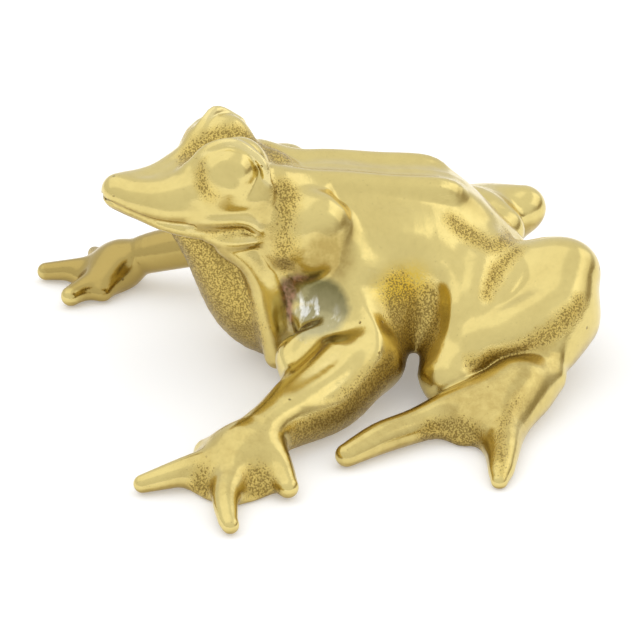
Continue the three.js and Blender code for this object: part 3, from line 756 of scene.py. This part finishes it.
def braze_colour(tree, where, uneven):
    """Brazing metal, with painted shade above and painted highlights in streaks that run down."""
    stretched = node(tree, "ShaderNodeMapping", {"Vector": where, "Scale": (1.0, 1.0, 0.3)}).outputs[0]
    _, along, height = node(tree, "ShaderNodeSeparateXYZ", {0: where}).outputs
    # Streaks of painted highlight running down
    highlight_streak = spread(tree, noise(tree, stretched, STREAKS, 3, 0.6), 0.54, 0.64)
    for place, low, high in zip((along, height), STREAKED_FROM, STREAKED_TO):
        highlight_streak = math_node(tree, "MULTIPLY", highlight_streak, spread(tree, place, low, high))
    # Painted shade, stronger upwards
    shade_level = math_node(tree, "MULTIPLY", height, 1 / MM)
    shade_level = math_node(tree, "ADD", shade_level, math_node(tree, "MULTIPLY", uneven, 6))
    metal = colour_mix(tree, spread(tree, shade_level, DARKENS_FROM, DARKENS_TO), BRAZE, SHADED_BRAZE)
    return colour_mix(tree, highlight_streak, metal, HIGHLIGHT_BRAZE)


def brass_material():
    material, tree, shader, where = new_material("cast_brass")
    shut, edge, sandy, dull_and_underside_shade, brazed, margin_shade, painted_reflection = (mask_of(tree, name) for name in MASKS)
    uneven = math_node(tree, "SUBTRACT", noise(tree, where, BLOTCHES, 5, 0.65), 0.5)
    uneven = math_node(tree, "MULTIPLY", uneven, 0.9)
    sand = noise(tree, where, SAND, 2, 0.6)
    worn = noise(tree, where, WEAR, 5, 0.7)

    # Specks of the sandy skin, pits, and dirt in the hollows
    density = spread(tree, math_node(tree, "ADD", sandy, uneven), 0.2, 0.9, 0.1, 1.0)
    speck = math_node(tree, "MULTIPLY", density, 0.26)
    speck = math_node(tree, "SUBTRACT", speck, math_node(tree, "SUBTRACT", sand, 0.28))
    speck = spread(tree, speck, 0.0, 0.07)
    dents = node(tree, "ShaderNodeTexVoronoi", {"Vector": where, "Scale": DENTS})
    chance = node(tree, "ShaderNodeSeparateColor", {0: dents.outputs["Color"]}).outputs[0]
    pit = math_node(tree, "MULTIPLY", spread(tree, dents.outputs["Distance"], 0.09, 0.05),
                    math_node(tree, "GREATER_THAN", chance, 0.7))
    dirt = math_node(tree, "MULTIPLY", spread(tree, shut, 0.25, 0.75), 0.4)
    for mark, amount in ((speck, 0.7), (pit, 0.5)):
        dirt = math_node(tree, "MAXIMUM", dirt, math_node(tree, "MULTIPLY", mark, amount))

    # Colour, from the polished metal outwards
    # Ridges lightened: partly wear from rubbing, partly a painted highlight
    rubbed_and_highlight = math_node(tree, "MULTIPLY", spread(tree, edge, 0.12, 0.4), 0.7)
    colour = colour_mix(tree, rubbed_and_highlight, POLISHED, RUBBED_AND_HIGHLIGHT)
    colour = colour_mix(tree, density, colour, AS_CAST)
    # Tarnish in zones and random clouds, with painted shade on the undersides
    tarnish_and_underside_shade = math_node(tree, "MULTIPLY", spread(tree, worn, 0.35, 0.65, 0.7, 1.2), dull_and_underside_shade)
    tarnish_and_underside_shade = math_node(tree, "ADD", tarnish_and_underside_shade, spread(tree, worn, 0.45, 0.75, 0.0, 0.14))
    cloud = spread(tree, noise(tree, where, CLOUDS, 5, 0.6), 0.45, 0.7, 0.0, 0.22)
    tarnish_and_underside_shade = math_node(tree, "ADD", tarnish_and_underside_shade, cloud)
    colour = colour_mix(tree, tarnish_and_underside_shade, colour, TARNISH_AND_SHADE_COLOUR)
    # Painted gold reflection in the hollow behind the arm, broken by the sand noise
    gold = math_node(tree, "MULTIPLY", painted_reflection, spread(tree, sand, 0.36, 0.6, 0.3, 1.0))
    colour = colour_mix(tree, gold, colour, REFLECTED_GOLD)
    metal = math_node(tree, "ADD", brazed, math_node(tree, "MULTIPLY", uneven, 0.7))
    colour = colour_mix(tree, spread(tree, metal, 0.35, 0.85), colour, braze_colour(tree, where, uneven))
    # Painted shade and painted coppery reflection along the pocket's margins
    margin_shading = spread(tree, math_node(tree, "ADD", margin_shade, uneven), 0.3, 0.8)
    margin_mottle = spread(tree, noise(tree, where, MARGIN_MOTTLE, 4, 0.7), 0.42, 0.6)
    colour = colour_mix(tree, margin_shading, colour, colour_mix(tree, margin_mottle, PAINTED_MARGIN_SHADE, PAINTED_COPPERY_REFLECTION))
    colour = colour_mix(tree, dirt, colour, PATINA)
    tree.links.new(colour, shader.inputs["Base Color"])

    shader.inputs["Metallic"].default_value = 1.0
    smooth = spread(tree, worn, 0.3, 0.7, 0.12, 0.22)
    rough = math_node(tree, "ADD", smooth, math_node(tree, "MULTIPLY", density, 0.18))
    tree.links.new(rough, shader.inputs["Roughness"])
    wave = noise(tree, where, SWELL, 1.5, 0.4)
    values = {"Strength": 0.35, "Distance": SWELL_DEPTH, "Height": wave}
    bump = node(tree, "ShaderNodeBump", values).outputs[0]
    values = {"Strength": 0.8, "Distance": PIT_DEPTH, "Height": pit, "Normal": bump}
    bump = node(tree, "ShaderNodeBump", values, invert=True).outputs[0]
    values = {"Strength": density, "Distance": SAND_DEPTH, "Height": sand, "Normal": bump}
    tree.links.new(node(tree, "ShaderNodeBump", values).outputs[0], shader.inputs["Normal"])
    return material


def dowel_material():
    material, tree, shader, where = new_material("dowel_brass")
    drawn = noise(tree, where, 2500, 3)
    colour = colour_mix(tree, drawn, DOWEL_DARK, DOWEL_LIGHT)
    tree.links.new(colour, shader.inputs["Base Color"])
    tree.links.new(spread(tree, drawn, 0.3, 0.7, 0.3, 0.45), shader.inputs["Roughness"])
    shader.inputs["Metallic"].default_value = 1.0
    return material


def felt_material():
    material, tree, shader, where = new_material("felt")
    fibre = noise(tree, where, 3500, 6, 0.7)
    colour = colour_mix(tree, fibre, FELT_DARK, FELT_LIGHT)
    tree.links.new(colour, shader.inputs["Base Color"])
    shader.inputs["Roughness"].default_value = 0.95
    shader.inputs["Sheen Weight"].default_value = 0.4
    bump = node(tree, "ShaderNodeBump", {"Strength": 0.8, "Distance": 0.0002, "Height": fibre})
    tree.links.new(bump.outputs[0], shader.inputs["Normal"])
    return material


def add_castings():
    """The sculpt cut into its castings one after another, each where its own form is the nearest."""
    material = brass_material()
    rows, rest = sculpt()
    pieces = {}
    for name in list(FORMS)[1:]:
        rows, rest = compact(rows, rest)
        others = [form for other, form in FORMS.items() if other != name and other not in pieces]
        P = rows[:, :3]
        g = evaluate(FORMS[name], P) - np.min([evaluate(form, P) for form in others], 0)
        rows, part, rest = split(rows, rest, g)
        pieces[name] = compact(rows, part)
    pieces["torso_casting"] = compact(rows, rest)
    for name, (data, triangles) in pieces.items():
        item = to_object("brass_" + name.replace("_casting", ""), data[:, :3] * MM, triangles)
        mesh = item.data
        mesh.polygons.foreach_set("use_smooth", np.ones(len(mesh.polygons), bool))
        normals = data[:, 3:6] / np.maximum(np.linalg.norm(data[:, 3:6], axis=1, keepdims=True), 1e-9)
        mesh.normals_split_custom_set_from_vertices(normals.tolist())
        for i, mask in enumerate(MASKS):
            values = data[:, 6 + i].astype(np.float32)
            mesh.attributes.new(mask, "FLOAT", "POINT").data.foreach_set("value", values)
        mesh.materials.append(material)
        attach(item, "root")
        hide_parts(name)


# Felt pad: points round it, how unevenly it is cut, and its profile as shares of its reach and its thickness
PAD_POINTS = 72
PAD_UNEVENNESS = 0.006
PAD_PROFILE = [(0.0, 0.0), (0.55, 0.0), (0.93, 0.0), (0.985, 0.12), (1.0, 0.4), (0.995, 0.75), (0.96, 0.96),
               (0.88, 1.0), (0.5, 1.0), (0.0, 1.0)]


def add_pad():
    low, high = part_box("belly_pad")
    centre, half = (low + high) / 2, (high - low) / 2
    points, faces = [], []
    for r, z in PAD_PROFILE:
        for i in range(PAD_POINTS):
            angle = 2 * math.pi * i / PAD_POINTS
            reach = r * (1 - PAD_UNEVENNESS * (1 + math.sin(7 * angle) * math.cos(3 * angle)))
            points.append((centre.x + half.x * reach * math.cos(angle),
                           centre.y + half.y * reach * math.sin(angle), low.z + z * (high.z - low.z)))
    for ring in range(len(PAD_PROFILE) - 1):
        for i in range(PAD_POINTS):
            a, b = ring * PAD_POINTS + i, ring * PAD_POINTS + (i + 1) % PAD_POINTS
            faces.append((a, b, b + PAD_POINTS, a + PAD_POINTS))
    pad = to_object("felt_pad", points, faces)
    bm = bmesh.new()
    bm.from_mesh(pad.data)
    bmesh.ops.remove_doubles(bm, verts=bm.verts, dist=1e-6)
    bmesh.ops.recalc_face_normals(bm, faces=bm.faces)
    bm.to_mesh(pad.data)
    bm.free()
    pad.data.polygons.foreach_set("use_smooth", np.ones(len(pad.data.polygons), bool))
    pad.data.materials.append(felt_material())
    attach(pad, "root")
    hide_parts("belly_pad")


def dress_dowels():
    """The dowels stay as the CAD made them, in drawn brass."""
    material = dowel_material()
    for name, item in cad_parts.items():
        if name.endswith("_dowel"):
            item.data.materials.clear()
            item.data.materials.append(material)


# Studio, in metres and watts: the floor's size and the glow that keeps it pale, the lamps' places, sizes and
# power, what they aim at, and the world's white below and above, with a dim warm patch in one direction
FLOOR_SIZE = 6
FLOOR_GLOW = 0.25
LAMPS = {"key": ((-0.25, -0.35, 0.9), (1.2, 1.2), 1.1), "back": ((0.05, 0.85, 0.55), (1.1, 0.6), 1.0)}
LAMP_AIM = (0, 0, 0.02)
WHITE_BELOW, WHITE_ABOVE = 0.84, 0.96
DIM_PATCH = (0.34, 0.28, 0.18, 1)
DIM_DIRECTION = (0.2, 0.96, -0.15)


def add_floor():
    bpy.ops.mesh.primitive_plane_add(size=FLOOR_SIZE)
    floor = bpy.context.object
    floor.name = "floor"
    material, tree, shader, where = new_material("floor")
    tint = colour_mix(tree, noise(tree, where, 30, 2), FLOOR_DARK, FLOOR_LIGHT)
    tree.links.new(tint, shader.inputs["Base Color"])
    shader.inputs["Roughness"].default_value = 0.9
    shader.inputs["Specular IOR Level"].default_value = 0.1
    shader.inputs["Emission Color"].default_value = (1, 1, 1, 1)
    path = node(tree, "ShaderNodeLightPath").outputs
    seen = math_node(tree, "MAXIMUM", path["Is Camera Ray"], path["Is Glossy Ray"])
    seen = math_node(tree, "MAXIMUM", seen, path["Is Transmission Ray"])
    tree.links.new(math_node(tree, "MULTIPLY", seen, FLOOR_GLOW), shader.inputs["Emission Strength"])
    floor.data.materials.append(material)


def add_lamp(name, place, size, power):
    data = bpy.data.lights.new(name, "AREA")
    data.shape = "RECTANGLE"
    data.size, data.size_y = size
    data.energy = power
    lamp = bpy.data.objects.new(name, data)
    lamp.location = place
    lamp.rotation_euler = (Vector(LAMP_AIM) - Vector(place)).to_track_quat("-Z", "Y").to_euler()
    bpy.context.scene.collection.objects.link(lamp)


def add_world():
    world = bpy.data.worlds.new("studio")
    bpy.context.scene.world = world
    world.use_nodes = True
    tree = world.node_tree
    tree.nodes.clear()
    direction = node(tree, "ShaderNodeTexCoord").outputs["Generated"]
    height = node(tree, "ShaderNodeSeparateXYZ", {0: direction}).outputs["Z"]
    values = {0: direction, 1: Vector(DIM_DIRECTION).normalized()}
    facing = node(tree, "ShaderNodeVectorMath", values, operation="DOT_PRODUCT").outputs["Value"]
    dim = spread(tree, facing, 0.7, 0.98)
    white = spread(tree, height, 0.0, 0.9, WHITE_BELOW, WHITE_ABOVE)
    studio = node(tree, "ShaderNodeCombineColor", {0: white, 1: white, 2: white}).outputs[0]
    colour = colour_mix(tree, dim, studio, DIM_PATCH)
    background = node(tree, "ShaderNodeBackground", {"Color": colour, "Strength": 1.0})
    out = node(tree, "ShaderNodeOutputWorld")
    tree.links.new(background.outputs[0], out.inputs[0])


def add_camera():
    a, e = math.radians(AZIMUTH), math.radians(ELEVATION)
    right = Vector((math.cos(a), math.sin(a), 0))
    back = Vector((math.sin(a) * math.cos(e), -math.cos(a) * math.cos(e), math.sin(e)))
    up = back.cross(right)
    u = (AIM_PIXEL[0] - PICTURE / 2) / FOCAL
    v = (PICTURE / 2 - AIM_PIXEL[1]) / FOCAL
    eye = Vector(AIM) - (u * right + v * up - back) * (FOCAL / SCALE)
    data = bpy.data.cameras.new("camera")
    data.sensor_width = SENSOR
    data.lens = SENSOR * FOCAL / PICTURE
    data.clip_start, data.clip_end = CLIP
    camera = bpy.data.objects.new("camera", data)
    turn = Matrix((right, up, back)).transposed().to_4x4()
    camera.matrix_world = Matrix.Translation(eye * MM) @ turn
    bpy.context.scene.collection.objects.link(camera)
    bpy.context.scene.camera = camera


add_castings()
add_pad()
dress_dowels()
add_floor()
for lamp, (place, size, power) in LAMPS.items():
    add_lamp(lamp, place, size, power)
add_world()
add_camera()
bpy.context.scene.view_settings.view_transform = "Standard"
